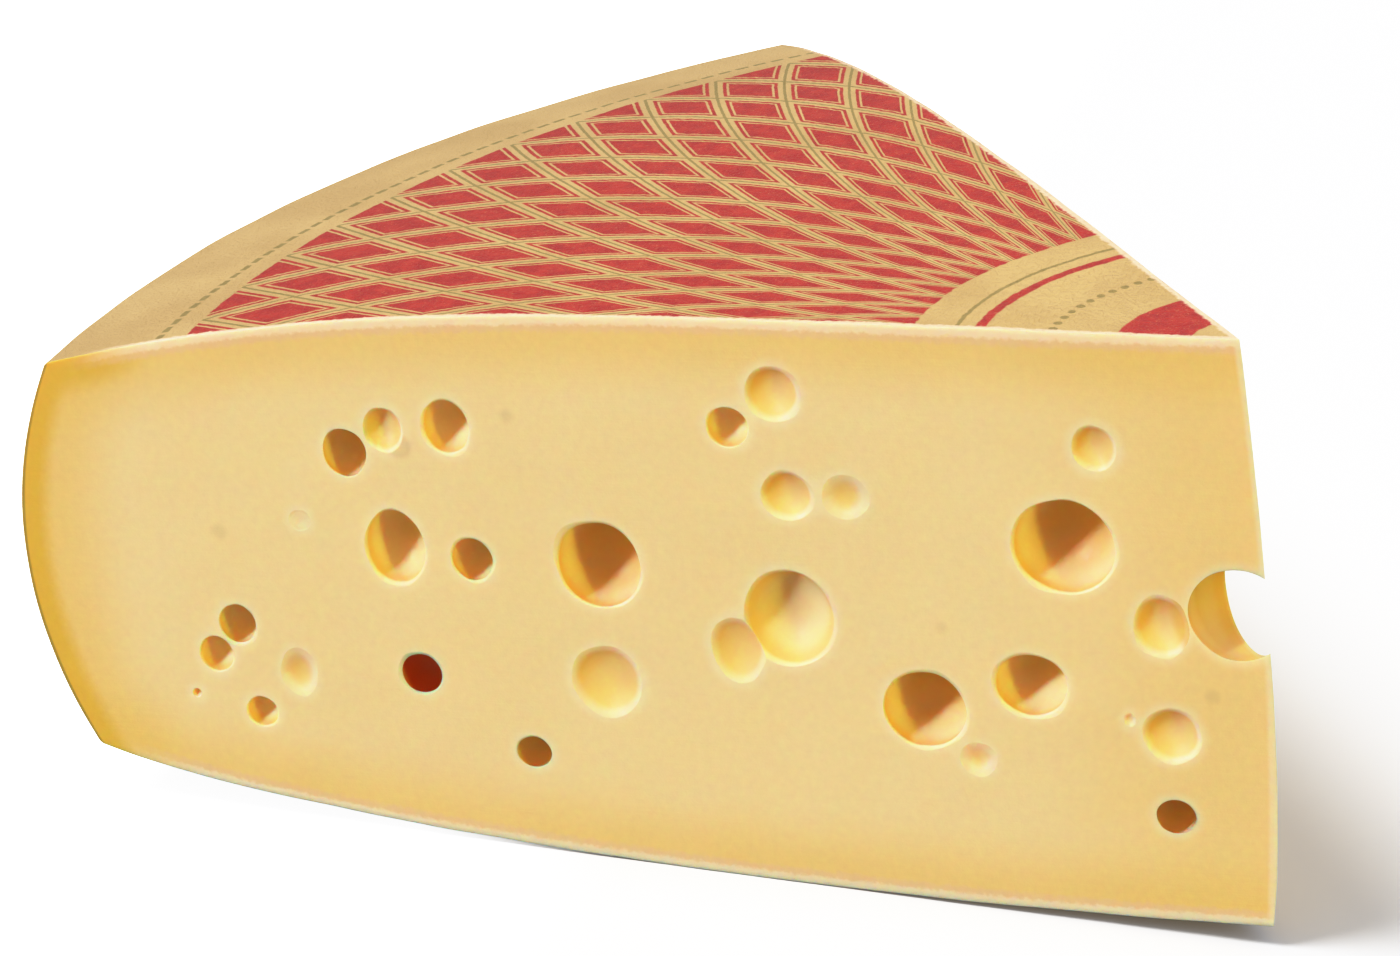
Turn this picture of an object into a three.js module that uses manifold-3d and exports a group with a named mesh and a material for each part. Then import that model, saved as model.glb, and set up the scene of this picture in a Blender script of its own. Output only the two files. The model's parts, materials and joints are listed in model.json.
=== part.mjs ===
// A wedge of a large alpine cheese, cut from a domed wheel.
//
// Millimetres, +Z up. The wedge is laid out in its wheel first: the wheel's axle is the
// Z axis, the tip of the wedge lies on the axle, the front cut is the plane y = 0 and the
// rim lies towards -X. Then the wedge leans to the tilt at which it rests on its domed
// underside, and its origin moves to the middle of its lowest level.

import * as THREE from 'three';
import { mergeVertices } from 'three/addons/utils/BufferGeometryUtils.js';
import Module from 'manifold-3d';

const wasm = await Module();
wasm.setup();

// ---------------------------------------------------------------------------
// Driving dimensions (mm, degrees)

const wheelRadius = 420; // to the crisp edge between the top and the rim
const halfHeight = 105.8; // from the mid-plane to either face, at the axle
const wedgeAngle = 52.5; // between the two cuts
const restLean = 5; // the axle leans this far towards the rim at rest

// The top swells a little round the axle and drops towards its edge.
const topSwell = 15.7;
const topDrop = 38.2;
const topDropPower = 3.77;

// The underside is domed evenly and turns up a little more at its edge.
const underDome = 36.6;
const underTurn = 7.4;
const underTurnPower = 10;

// The rim bulges out between its two edges.
const rimBulge = 17.8;

// The back cut is bowed outwards, most at a level below the mid-plane.
const cutBow = 3.6;
const cutBowLevel = -18;

// The cheese is pressed flat where it rests.
const flatSpotDepth = 1.5;

// Steps that round shapes are drawn with
const turnSteps = 100;
const faceSteps = 13;
const rimSteps = 11;
const bowSteps = 12;

// Eyes: how deep one is, against the mean radius of its mouth
const dimple = 0.3;
const slight = 0.35;
const shallow = 0.5;
const middling = 0.66;
const cupped = 1.15;
const deep = 1.35;
const pit = 1.9;
const cavern = 2.6;

// Eyes opened by the front cut: distance from the axle along the cut, level over the
// wheel's mid-plane, half width and half height of the mouth, and depth.
const frontEyes = [
  [63, 30, 17, 16.5, cupped],
  [225.5, 16, 14.5, 15.5, deep],
  [298.5, 19.5, 10.5, 13.5, cupped],
  [115, -32, 14, 13.5, deep],
  [77.5, -21, 12, 11, deep],
  [159.5, -0.5, 15.5, 17.5, middling],
  [179, -13, 9.5, 12, slight],
  [227, -27.5, 12.5, 12.5, slight],
  [30.5, -37, 9.5, 9.5, shallow],
  [32, 2.5, 9, 10.5, shallow],
  [158.5, 81, 9, 9.5, shallow],
  [156.5, 44.5, 9, 8.5, shallow],
  [136.5, 45, 7, 7, dimple],
  [50.5, 65.5, 7.5, 8, shallow],
  [298, 63, 7, 8, middling],
  [275, 65, 8, 9.5, deep],
  [313, 54, 7.5, 8.5, pit],
  [175, 68.5, 7, 7, deep],
  [271, 16, 7, 7.5, pit],
  [294.5, -28, 7, 7, cavern],
  [361, -12.5, 6.5, 7, pit],
  [370.5, -24.5, 6, 6.5, deep],
  [340, -30, 6, 8, dimple],
  [356, -46, 5.5, 5.5, deep],
  [256.5, -56, 6, 5.5, cavern],
  [31, -67, 6.5, 6, cavern],
  [97.5, -49.5, 5, 5, dimple],
];

// Eyes opened by the back cut, in the same terms
const backEyes = [
  [92, 38, 15, 16, deep],
  [138, -14, 16, 15, deep],
  [196, 34, 13.5, 14.5, middling],
  [246, -22, 15, 14, deep],
  [306, 22, 12.5, 14, deep],
  [342, -30, 9, 9.5, deep],
  [62, -44, 11.5, 11, deep],
  [118, 66, 9, 8.5, shallow],
  [166, 74, 7.5, 7.5, deep],
  [222, 67, 9.5, 9, shallow],
  [268, 58, 7, 7.5, cavern],
  [284, 52, 8, 8.5, slight],
  [332, 52, 7.5, 7, deep],
  [364, 8, 8, 9, slight],
  [182, -48, 9.5, 9, shallow],
  [214, -58, 6.5, 6.5, pit],
  [290, -48, 7.5, 7, middling],
  [104, -66, 7, 6.5, deep],
  [162, 12, 8.5, 9.5, shallow],
  [44, 6, 9, 9.5, shallow],
  [46, 62, 8, 8, middling],
  [378, -22, 6, 6.5, pit],
  [238, 14, 10, 10.5, slight],
  [272, 6, 6.5, 6.5, middling],
];

// One eye lies on the tip itself and opens through both cuts. It's longer across the cuts.
const tipEye = { x: -5.7, y: 8, z: 8.1, radius: 17.8, halfLength: 22 };

// Directions worked out from the dimensions
const backTurn = THREE.MathUtils.degToRad(180 - wedgeAngle);
const middleTurn = THREE.MathUtils.degToRad(180 - wedgeAngle / 2);
const lean = THREE.MathUtils.degToRad(restLean);
const reach = 2 * wheelRadius; // well past the wheel, for what cuts it

// ---------------------------------------------------------------------------
// Closed meshes made into solids, and back

function solidFrom(geometry) {
  const bare = geometry.clone();
  bare.deleteAttribute('normal');
  bare.deleteAttribute('uv');
  const merged = mergeVertices(bare, 1e-3);
  const corners = merged.index.array;
  const faces = [];
  for (let i = 0; i < corners.length; i += 3) {
    const [a, b, c] = corners.slice(i, i + 3);
    if (a !== b && b !== c && c !== a) faces.push(a, b, c);
  }
  return new wasm.Manifold(new wasm.Mesh({
    numProp: 3,
    vertProperties: new Float32Array(merged.attributes.position.array),
    triVerts: new Uint32Array(faces),
  }));
}

function geometryFrom(solid) {
  const mesh = solid.getMesh();
  const geometry = new THREE.BufferGeometry();
  geometry.setAttribute('position', new THREE.BufferAttribute(mesh.vertProperties, 3));
  geometry.setIndex(new THREE.BufferAttribute(mesh.triVerts, 1));
  geometry.computeVertexNormals();
  return geometry;
}

// ---------------------------------------------------------------------------
// The whole wheel: its outline turned round the axle

function topLevel(radius) {
  const share = radius / wheelRadius;
  return halfHeight + topSwell * share ** 2 - topDrop * share ** topDropPower;
}

function underLevel(radius) {
  const share = radius / wheelRadius;
  return underDome * share ** 2 + underTurn * share ** underTurnPower - halfHeight;
}

function rimReach(level) {
  const top = topLevel(wheelRadius);
  const under = underLevel(wheelRadius);
  const offMiddle = (2 * level - top - under) / (top - under);
  return wheelRadius + rimBulge * (1 - offMiddle ** 2);
}

function wheelOutline() {
  const outline = [];
  for (let i = 0; i <= faceSteps; i += 1) {
    const radius = (wheelRadius * i) / faceSteps;
    outline.push(new THREE.Vector2(radius, underLevel(radius)));
  }
  const under = underLevel(wheelRadius);
  const rimHeight = topLevel(wheelRadius) - under;
  for (let i = 1; i < rimSteps; i += 1) {
    const level = under + (rimHeight * i) / rimSteps;
    outline.push(new THREE.Vector2(rimReach(level), level));
  }
  for (let i = faceSteps; i >= 0; i -= 1) {
    const radius = (wheelRadius * i) / faceSteps;
    outline.push(new THREE.Vector2(radius, topLevel(radius)));
  }
  return outline;
}

function wheel() {
  const geometry = new THREE.LatheGeometry(wheelOutline(), turnSteps);
  return solidFrom(geometry.rotateX(Math.PI / 2));
}

// ---------------------------------------------------------------------------
// What the two cuts take away

function frontWaste() {
  const geometry = new THREE.BoxGeometry(2 * reach, reach, reach);
  return solidFrom(geometry.translate(0, -reach / 2, 0));
}

// A bar whose section carries the bow, drawn out along the back cut
function backWaste() {
  const section = new THREE.Shape();
  section.moveTo(0, -reach);
  section.lineTo(0, -halfHeight);
  section.quadraticCurveTo(2 * cutBow, 2 * cutBowLevel, 0, halfHeight);
  section.lineTo(0, reach);
  section.lineTo(reach, reach);
  section.lineTo(reach, -reach);
  const bar = new THREE.ExtrudeGeometry(section, {
    depth: 2 * reach,
    curveSegments: bowSteps,
    bevelEnabled: false,
  });
  bar.translate(0, 0, -reach);
  const along = new THREE.Vector3(Math.cos(backTurn), Math.sin(backTurn), 0);
  const outwards = new THREE.Vector3(along.y, -along.x, 0);
  const upwards = new THREE.Vector3(0, 0, 1);
  const toCut = new THREE.Matrix4().makeBasis(outwards, upwards, along.negate());
  return solidFrom(bar.applyMatrix4(toCut));
}

// ---------------------------------------------------------------------------
// Eyes: round gas holes that a cut has opened

// A hole's ball reaches from its floor up through its mouth. With the mouth in the plane
// y = 0 and the cheese towards +Y, a shallow eye's ball has its centre outside the cheese.
function eyeBall(halfWidth, halfDepth, halfTall) {
  const steps = 2 * Math.round(4 + halfWidth / 3.5);
  const ball = new THREE.SphereGeometry(1, steps, steps / 2);
  return ball.scale(halfWidth, halfDepth, halfTall);
}

function cutEye([distance, level, halfWidth, halfTall, depthShare], turn, side, standOut) {
  const mouth = (halfWidth + halfTall) / 2;
  const depth = depthShare * mouth;
  const radius = (mouth ** 2 + depth ** 2) / (2 * depth);
  const swell = radius / mouth;
  const ball = eyeBall(swell * halfWidth, radius, swell * halfTall);
  ball.translate(side * distance, depth - radius - standOut, level);
  return solidFrom(ball.rotateZ(turn));
}

// How far the back cut stands out at a level: the curve of the bar's section there
function bowAt(level) {
  const control = 2 * cutBowLevel;
  const bend = -2 * control;
  const slope = 2 * (halfHeight + control);
  const share = (Math.sqrt(slope ** 2 + 4 * bend * (halfHeight + level)) - slope) / (2 * bend);
  return 4 * cutBow * share * (1 - share);
}

function throughEye() {
  const ball = eyeBall(tipEye.radius, tipEye.halfLength, tipEye.radius);
  return solidFrom(ball.translate(tipEye.x, tipEye.y, tipEye.z));
}

function allEyes() {
  const front = frontEyes.map((eye) => cutEye(eye, 0, -1, 0));
  const back = backEyes.map((eye) => cutEye(eye, backTurn, 1, bowAt(eye[1])));
  return [...front, ...back, throughEye()];
}

// ---------------------------------------------------------------------------
// The wedge at rest

// The rim side sinks until the underside is level below the wedge's middle.
function leanToRest() {
  const upwards = new THREE.Vector3(
    -Math.sin(lean) * Math.cos(middleTurn),
    -Math.sin(lean) * Math.sin(middleTurn),
    Math.cos(lean),
  );
  const across = new THREE.Vector3(1, 0, 0).projectOnPlane(upwards).normalize();
  const back = new THREE.Vector3().crossVectors(upwards, across);
  return new THREE.Matrix4().makeBasis(across, back, upwards).transpose();
}

function belowRest(lowest) {
  const geometry = new THREE.BoxGeometry(2 * reach, 2 * reach, reach);
  return solidFrom(geometry.translate(0, 0, lowest + flatSpotDepth - reach / 2));
}

function cheeseWedge() {
  let cheese = wheel().subtract(frontWaste()).subtract(backWaste());
  for (const eye of allEyes()) cheese = cheese.subtract(eye);
  const leaning = solidFrom(geometryFrom(cheese).applyMatrix4(leanToRest()));
  const lowest = leaning.boundingBox().min[2];
  const geometry = geometryFrom(leaning.subtract(belowRest(lowest)));
  geometry.computeBoundingBox();
  const { min, max } = geometry.boundingBox;
  geometry.translate(-(min.x + max.x) / 2, -(min.y + max.y) / 2, -min.z);
  return geometry;
}

const paste = new THREE.MeshStandardMaterial({
  color: 0xebcf8c,
  roughness: 0.5,
  metalness: 0,
});

const wedge = new THREE.Mesh(cheeseWedge(), paste);
wedge.name = 'cheese_wedge';

const group = new THREE.Group();
group.add(wedge);

export default group;
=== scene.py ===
# %% [markdown]
# # A wedge of large-holed alpine cheese
#
# The real thing is cut from a wheel wider than a car's, and domed on both sides. It has a printed rind on
# top, a bare rind round the bulging rim, and two fresh cuts with round gas holes, which cheesemakers call
# eyes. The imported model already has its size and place, so this lesson only makes the fine surface and
# its finish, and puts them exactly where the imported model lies.

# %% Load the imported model
import json
import math
import random

import bmesh
import bpy
from mathutils import Matrix, Vector, noise

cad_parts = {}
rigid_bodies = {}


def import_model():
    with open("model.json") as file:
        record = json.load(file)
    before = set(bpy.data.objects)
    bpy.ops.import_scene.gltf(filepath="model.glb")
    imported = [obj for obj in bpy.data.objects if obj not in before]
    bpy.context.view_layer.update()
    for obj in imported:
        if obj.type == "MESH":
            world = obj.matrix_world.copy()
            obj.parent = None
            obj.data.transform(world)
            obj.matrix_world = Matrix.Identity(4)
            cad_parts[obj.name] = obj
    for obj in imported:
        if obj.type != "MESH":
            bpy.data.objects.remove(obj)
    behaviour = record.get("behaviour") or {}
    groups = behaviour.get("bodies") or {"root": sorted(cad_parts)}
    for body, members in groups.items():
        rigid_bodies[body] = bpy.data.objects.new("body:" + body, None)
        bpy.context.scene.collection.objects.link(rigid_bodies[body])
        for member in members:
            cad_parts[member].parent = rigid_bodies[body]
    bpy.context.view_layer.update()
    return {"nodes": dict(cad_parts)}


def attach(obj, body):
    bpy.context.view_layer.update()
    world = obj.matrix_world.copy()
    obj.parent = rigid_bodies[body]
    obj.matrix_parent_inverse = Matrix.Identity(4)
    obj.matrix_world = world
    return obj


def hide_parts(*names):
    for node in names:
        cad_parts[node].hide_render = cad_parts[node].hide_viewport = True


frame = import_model()
cad_wedge = frame["nodes"]["cheese_wedge"]

# %% [markdown]
# ## The camera
#
# A product photographer stands well back with a long lens, so that the wedge keeps its true proportions.
# The camera is placed by an aim point, a distance and three angles, which is easier to adjust than a
# position and a rotation. The roll is a very slight tilt of the camera to one side.

# %% Place the camera
camera_aim = Vector((-0.0214, -0.0281, 0.0729))
camera_distance = 2.0416
camera_azimuth = math.radians(17.959)
camera_elevation = math.radians(26.628)
camera_roll = math.radians(-1.859)
camera_lens = 144.82
camera_sensor = 36.0


def add_object(name, data):
    added = bpy.data.objects.new(name, data)
    bpy.context.scene.collection.objects.link(added)
    return added


def camera_directions(azimuth, elevation, roll):
    backwards = Vector((
        math.sin(azimuth) * math.cos(elevation),
        -math.cos(azimuth) * math.cos(elevation),
        math.sin(elevation),
    ))
    level_right = Vector((math.cos(azimuth), math.sin(azimuth), 0.0))
    level_up = backwards.cross(level_right)
    right = level_right * math.cos(roll) + level_up * math.sin(roll)
    return right, backwards.cross(right), backwards


right, upwards, backwards = camera_directions(camera_azimuth, camera_elevation, camera_roll)
camera_data = bpy.data.cameras.new("camera")
camera_data.lens = camera_lens
camera_data.sensor_width = camera_sensor
camera = add_object("camera", camera_data)
camera.matrix_world = (
    Matrix.Translation(camera_aim + backwards * camera_distance)
    @ Matrix((right, upwards, backwards)).transposed().to_4x4()
)
bpy.context.scene.camera = camera
print("camera stands at", [round(v, 3) for v in camera.matrix_world.translation])

# %% [markdown]
# ## The wheel that the wedge comes from
#
# A wheel of cheese is a turned shape, so every point of the wedge is known by its distance from the axle,
# its turn round the axle and its level over the mid-plane. It is simplest to model in the wheel's own
# frame: the axle is Z, the tip lies on the axle, the front cut is the plane y = 0 and the rim is towards
# -X. The formulas below give the domed top, the domed underside and the bulging rim.

# %% The wheel's driving sizes
mm = 0.001
wheel_radius = 420 * mm
half_height = 105.8 * mm
wedge_angle = math.radians(52.5)
rest_lean = math.radians(5)
top_swell, top_drop, top_drop_power = 15.7 * mm, 38.2 * mm, 3.77
under_dome, under_turn, under_turn_power = 36.6 * mm, 7.4 * mm, 10
rim_bulge = 17.8 * mm
cut_bow, cut_bow_level = 3.6 * mm, -18 * mm
back_turn = math.pi - wedge_angle
middle_turn = math.pi - wedge_angle / 2


def top_level(radius):
    share = radius / wheel_radius
    return half_height + top_swell * share**2 - top_drop * share**top_drop_power


def under_level(radius):
    share = radius / wheel_radius
    return under_dome * share**2 + under_turn * share**under_turn_power - half_height


rim_top = top_level(wheel_radius)
rim_under = under_level(wheel_radius)
print("the wheel is", round((rim_top - rim_under) / mm), "mm thick at the rim")

# %% [markdown]
# ## How the wedge leans
#
# Cut out of the wheel, the wedge doesn't stay level: it rests on its domed underside, and the heavy rim
# side sinks until the balance point is above the spot that touches the table. The tip's top corner is
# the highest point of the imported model, and that one point is enough to bring the wheel's frame to it.

# %% The move from the wheel's frame to the table
wheel_up = Vector((
    -math.sin(rest_lean) * math.cos(middle_turn),
    -math.sin(rest_lean) * math.sin(middle_turn),
    math.cos(rest_lean),
))
wheel_across = (Vector((1, 0, 0)) - wheel_up * wheel_up.x).normalized()
wheel_lean = Matrix((wheel_across, wheel_up.cross(wheel_across), wheel_up))
tip_corner = max((vertex.co for vertex in cad_wedge.data.vertices), key=lambda place: place.z)
wheel_shift = tip_corner - wheel_lean @ Vector((0, 0, half_height))
wheel_to_table = Matrix.Translation(wheel_shift) @ wheel_lean.to_4x4()
print("the axle stands at", [round(v, 4) for v in wheel_shift])

# %% [markdown]
# ## The plain wedge
#
# A flat grid is bent into the section of the wheel, which gives the front cut. A copy of it is turned
# round the axle and becomes the back cut. The border of the grid is then spun from one to the other, and
# that sweep makes the top, the rim and the underside. The rows of the grid stand closer together near
# the rind, because that is where the shape turns.

# %% The section of the wheel as a fine grid
columns, rows, turns = 156, 60, 92
border_pull = 0.55


def eased(share):
    return share - border_pull * math.sin(2 * math.pi * share) / (2 * math.pi)


def section_place(across, up):
    """The place on the front cut for two shares: from axle to rim, and from underside to top."""
    radius = across * wheel_radius
    low, high = under_level(radius), top_level(radius)
    bulge = rim_bulge * (1 - (2 * up - 1) ** 2) * across
    return Vector((-radius - bulge, 0, low + up * (high - low)))


shell = bmesh.new()
bmesh.ops.create_grid(shell, x_segments=columns, y_segments=rows, size=1)
for vertex in shell.verts:
    vertex.co = section_place(eased((vertex.co.x + 1) / 2), eased((vertex.co.y + 1) / 2))
print("front cut:", len(shell.faces), "faces")

# %% Spin the border of the front cut round the axle
PASTE, PRINTED, RIND, EYE = range(4)
top_upright, weld_reach = 0.7, 0.005 * mm
front_faces = shell.faces[:]
border = [edge for edge in shell.edges if edge.is_boundary]
border = [edge for edge in border if max(abs(v.co.x) for v in edge.verts) > 0.01 * mm]
copied = bmesh.ops.duplicate(shell, geom=front_faces)
back_verts = [piece for piece in copied["geom"] if isinstance(piece, bmesh.types.BMVert)]
bmesh.ops.rotate(
    shell, verts=back_verts, cent=(0, 0, 0), matrix=Matrix.Rotation(-wedge_angle, 3, "Z")
)
for face in shell.faces:
    face.material_index = PASTE
cut_faces = set(shell.faces)
border_verts = list(dict.fromkeys(vertex for edge in border for vertex in edge.verts))
bmesh.ops.spin(
    shell, geom=border + border_verts, cent=(0, 0, 0), axis=(0, 0, -1),
    angle=wedge_angle, steps=turns, use_merge=False, use_duplicate=False,
)
for face in shell.faces:
    if face not in cut_faces:
        face.normal_update()
        on_top = abs(face.normal.z) > top_upright and face.calc_center_median().z > 0
        face.material_index = PRINTED if on_top else RIND
bmesh.ops.remove_doubles(shell, verts=shell.verts, dist=weld_reach)
bmesh.ops.recalc_face_normals(shell, faces=shell.faces)
open_edges = sum(not edge.is_manifold for edge in shell.edges)
print("plain wedge:", len(shell.faces), "faces,", open_edges, "open edges")

# %% [markdown]
# ## Unevenness
#
# A knife doesn't leave a true plane: the back cut is bowed outwards, which also shows as a bow of the tip
# edge. On top of that the whole wedge gets a soft unevenness, as every real cheese has. One smooth field
# of noise moves all the vertices, so neighbouring surfaces move together and no seam opens.


# %% Bow the back cut and loosen the surfaces
def bow_at(level):
    """How far the back cut stands out at a level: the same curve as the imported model's cut."""
    control = 2 * cut_bow_level
    bend, slope = -2 * control, 2 * (half_height + control)
    share = (math.sqrt(slope**2 + 4 * bend * (half_height + level)) - slope) / (2 * bend)
    return 4 * cut_bow * share * (1 - share)


back_along = Vector((math.cos(back_turn), math.sin(back_turn), 0))
back_outwards = Vector((back_along.y, -back_along.x, 0))
tip_outwards = Vector((1 / math.sin(wedge_angle), 0, 0))
broad_swell, broad_size = 0.5 * mm, 85 * mm
close_swell, close_size = 0.22 * mm, 21 * mm
# Without a seed this noise starts from the time of day, and every run would make another wedge
noise_seed = 5
noise.seed_set(noise_seed)


def unevenness(place):
    broad = noise.noise_vector(place / broad_size)
    close = noise.noise_vector(place / close_size + Vector((7, 3, 5)))
    return broad * broad_swell + close * close_swell


for vertex in shell.verts:
    place = vertex.co.copy()
    radius = math.hypot(place.x, place.y)
    level = max(-half_height, min(half_height, place.z))
    inwards = max(0.0, 1 - radius / wheel_radius)
    behind = (math.pi - math.atan2(place.y, place.x)) / wedge_angle if radius > mm else 0.0
    on_front = tip_outwards * inwards
    on_back = back_outwards - back_along * inwards / math.tan(wedge_angle)
    vertex.co += bow_at(level) * on_front.lerp(on_back, behind) + unevenness(place)
print("bow at mid-height:", round(bow_at(0) / mm, 2), "mm")

# %% [markdown]
# ## Soft edges
#
# A cut edge of cheese is crisp, but not razor sharp, and the edge between top and rim is rounder, because
# the wheel was pressed in a hoop and then brushed for months. A bevel on those edge loops gives each its
# own small round.


# %% Round the edges
def edges_between(first, second):
    wanted = {first, second}
    return [
        edge for edge in shell.edges
        if len(edge.link_faces) == 2 and {face.material_index for face in edge.link_faces} == wanted
    ]


def round_edges(edges, width, segments):
    bmesh.ops.bevel(
        shell, geom=edges, offset=width, offset_type="OFFSET", segments=segments, profile=0.5,
        affect="EDGES", clamp_overlap=True, material=-1,
    )


corner_turn = math.radians(35)
rind_round, cut_round = 1.6 * mm, 0.5 * mm
rim_corners = edges_between(PRINTED, RIND)
under_corners = [
    edge for edge in shell.edges
    if len(edge.link_faces) == 2 and edge.calc_face_angle() > corner_turn
    and all(face.material_index == RIND for face in edge.link_faces)
]
round_edges(rim_corners + under_corners, rind_round, 3)
round_edges(edges_between(PASTE, PRINTED) + edges_between(PASTE, RIND), cut_round, 2)
print("rounded wedge:", len(shell.faces), "faces")

# %% [markdown]
# ## The eyes
#
# Each eye is a ball of gas that was trapped in the cheese, and the cut has opened it somewhere. Opened
# near its edge it is a shallow bowl, opened across its middle it is a deep cup, and where only a small cap
# is cut off, a dark cavern lies behind a small mouth. So each eye is made as a cutter: a profile with a
# soft lip and a round wall is spun round the eye's own axis, and the wedge is cut with all of them at once.

# %% Where the eyes are
faint, dimple, slight, shallow, middling = 0.12, 0.3, 0.35, 0.5, 0.66
cupped, deep, pit, cavern = 1.15, 1.35, 1.9, 2.6

# Distance from the axle along the cut, level over the mid-plane, half width and half height of the
# mouth in millimetres, and the depth against the mouth's mean radius
front_eyes = [
    (63, 30, 17, 16.5, cupped), (225.5, 16, 14.5, 15.5, deep), (298.5, 19.5, 10.5, 13.5, cupped),
    (115, -32, 14, 13.5, deep), (77.5, -21, 12, 11, deep), (159.5, -0.5, 15.5, 17.5, middling),
    (179, -13, 9.5, 12, slight), (227, -27.5, 12.5, 12.5, slight), (30.5, -37, 9.5, 9.5, shallow),
    (32, 2.5, 9, 10.5, shallow), (158.5, 81, 9, 9.5, shallow), (156.5, 44.5, 9, 8.5, shallow),
    (136.5, 45, 7, 7, dimple), (50.5, 65.5, 7.5, 8, shallow), (298, 63, 7, 8, middling),
    (275, 65, 8, 9.5, deep), (313, 54, 7.5, 8.5, pit), (175, 68.5, 7, 7, deep),
    (271, 16, 7, 7.5, pit), (294.5, -28, 7, 7, cavern), (361, -12.5, 6.5, 7, pit),
    (370.5, -24.5, 6, 6.5, deep), (340, -30, 6, 8, dimple), (356, -46, 5.5, 5.5, deep),
    (256.5, -56, 6, 5.5, cavern), (31, -67, 6.5, 6, cavern), (97.5, -49.5, 5, 5, dimple),
    (332.5, 28, 3.3, 3.3, faint), (380, -40, 1.5, 1.5, deep), (44.5, -32, 1.6, 2, shallow),
]
back_eyes = [
    (92, 38, 15, 16, deep), (138, -14, 16, 15, deep), (196, 34, 13.5, 14.5, middling),
    (246, -22, 15, 14, deep), (306, 22, 12.5, 14, deep), (342, -30, 9, 9.5, deep),
    (62, -44, 11.5, 11, deep), (118, 66, 9, 8.5, shallow), (166, 74, 7.5, 7.5, deep),
    (222, 67, 9.5, 9, shallow), (268, 58, 7, 7.5, cavern), (284, 52, 8, 8.5, slight),
    (332, 52, 7.5, 7, deep), (364, 8, 8, 9, slight), (182, -48, 9.5, 9, shallow),
    (214, -58, 6.5, 6.5, pit), (290, -48, 7.5, 7, middling), (104, -66, 7, 6.5, deep),
    (162, 12, 8.5, 9.5, shallow), (44, 6, 9, 9.5, shallow), (46, 62, 8, 8, middling),
    (378, -22, 6, 6.5, pit), (238, 14, 10, 10.5, slight), (272, 6, 6.5, 6.5, middling),
    (322, -8, 2.2, 2.2, shallow), (136, 30, 2, 2.2, shallow), (70, -14, 3, 3, dimple),
]
tip_eye, tip_eye_radius, tip_eye_half_length = Vector((-5.7, 8, 8.1)) * mm, 17.8 * mm, 22 * mm
print(len(front_eyes), "eyes in the front cut,", len(back_eyes), "in the back cut, one on the tip")

# %% The profile of one eye
lip_share, lip_least = 0.065, 0.5 * mm
lip_slope = 0.28
mouth_reach = 0.9 * mm


def eye_profile(mouth, depth, steps):
    """Points (distance from the eye's axis, depth) from outside the cheese to the eye's floor."""
    ball = (mouth**2 + depth**2) / (2 * depth)
    centre = depth - ball
    lip = lip_least + lip_share * mouth
    start = Vector((mouth + 0.7 * lip, 0))
    bend = Vector((mouth - 0.2 * lip, lip_slope * 0.9 * lip))
    mouth_turn = math.acos(max(-1.0, min(1.0, -centre / ball)))
    wall_turn = mouth_turn - 1.2 * lip / ball
    wall = Vector((ball * math.sin(wall_turn), centre + ball * math.cos(wall_turn)))
    outside = start + Vector((1 / lip_slope, -1)) * mouth_reach
    points = [Vector((0, -mouth_reach)), outside]
    for step in range(4):
        share = step / 4
        points.append(start.lerp(bend, share).lerp(bend.lerp(wall, share), share))
    for step in range(steps + 1):
        turn = wall_turn * (1 - step / steps)
        points.append(Vector((ball * math.sin(turn), centre + ball * math.cos(turn))))
    return points


print("a deep eye's profile has", len(eye_profile(10 * mm, 13.5 * mm, 8)), "points")

# %% Make the cutters
eye_seed = 11
eye_draw = random.Random(eye_seed)
eye_wobble, eye_wobble_size = 0.03, 1.1
cutters = bpy.data.collections.new("cutters")
bpy.context.scene.collection.children.link(cutters)


def cutter_object(name, shape):
    mesh = bpy.data.meshes.new(name)
    for face in shape.faces:
        face.material_index = EYE
        face.smooth = True
    bmesh.ops.recalc_face_normals(shape, faces=shape.faces)
    shape.to_mesh(mesh)
    shape.free()
    cutter = bpy.data.objects.new(name, mesh)
    cutters.objects.link(cutter)
    return cutter


def wobble(shape, size):
    """Makes a spun eye a little lopsided, as the gas found it."""
    offset = Vector(eye_draw.uniform(-40, 40) for _ in range(3))
    for vertex in shape.verts:
        place = vertex.co / size
        vertex.co += noise.noise_vector(place * eye_wobble_size + offset) * eye_wobble * size


def eye_cutter(name, eye, turn, side):
    distance, level, half_width, half_tall, depth_share = eye
    mouth = (half_width + half_tall) / 2 * mm
    rounds = 20 + 2 * round(mouth / mm)
    steps = 6 + round(mouth / mm / 3)
    shape = bmesh.new()
    profile = [
        shape.verts.new((across, inwards, 0))
        for across, inwards in eye_profile(mouth, depth_share * mouth, steps)
    ]
    line = [shape.edges.new(pair) for pair in zip(profile, profile[1:])]
    bmesh.ops.spin(
        shape, geom=profile + line, cent=(0, 0, 0), axis=(0, 1, 0),
        angle=2 * math.pi, steps=rounds, use_merge=True, use_duplicate=False,
    )
    bmesh.ops.remove_doubles(shape, verts=shape.verts, dist=weld_reach)
    wobble(shape, mouth)
    stretch = Vector((half_width * mm / mouth, 1, half_tall * mm / mouth))
    bmesh.ops.scale(shape, vec=stretch, verts=shape.verts)
    bmesh.ops.translate(shape, vec=(side * distance * mm, 0, level * mm), verts=shape.verts)
    bmesh.ops.rotate(shape, cent=(0, 0, 0), matrix=Matrix.Rotation(turn, 3, "Z"), verts=shape.verts)
    if turn:
        bmesh.ops.translate(shape, vec=back_outwards * bow_at(level * mm), verts=shape.verts)
    return cutter_object(name, shape)


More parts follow.
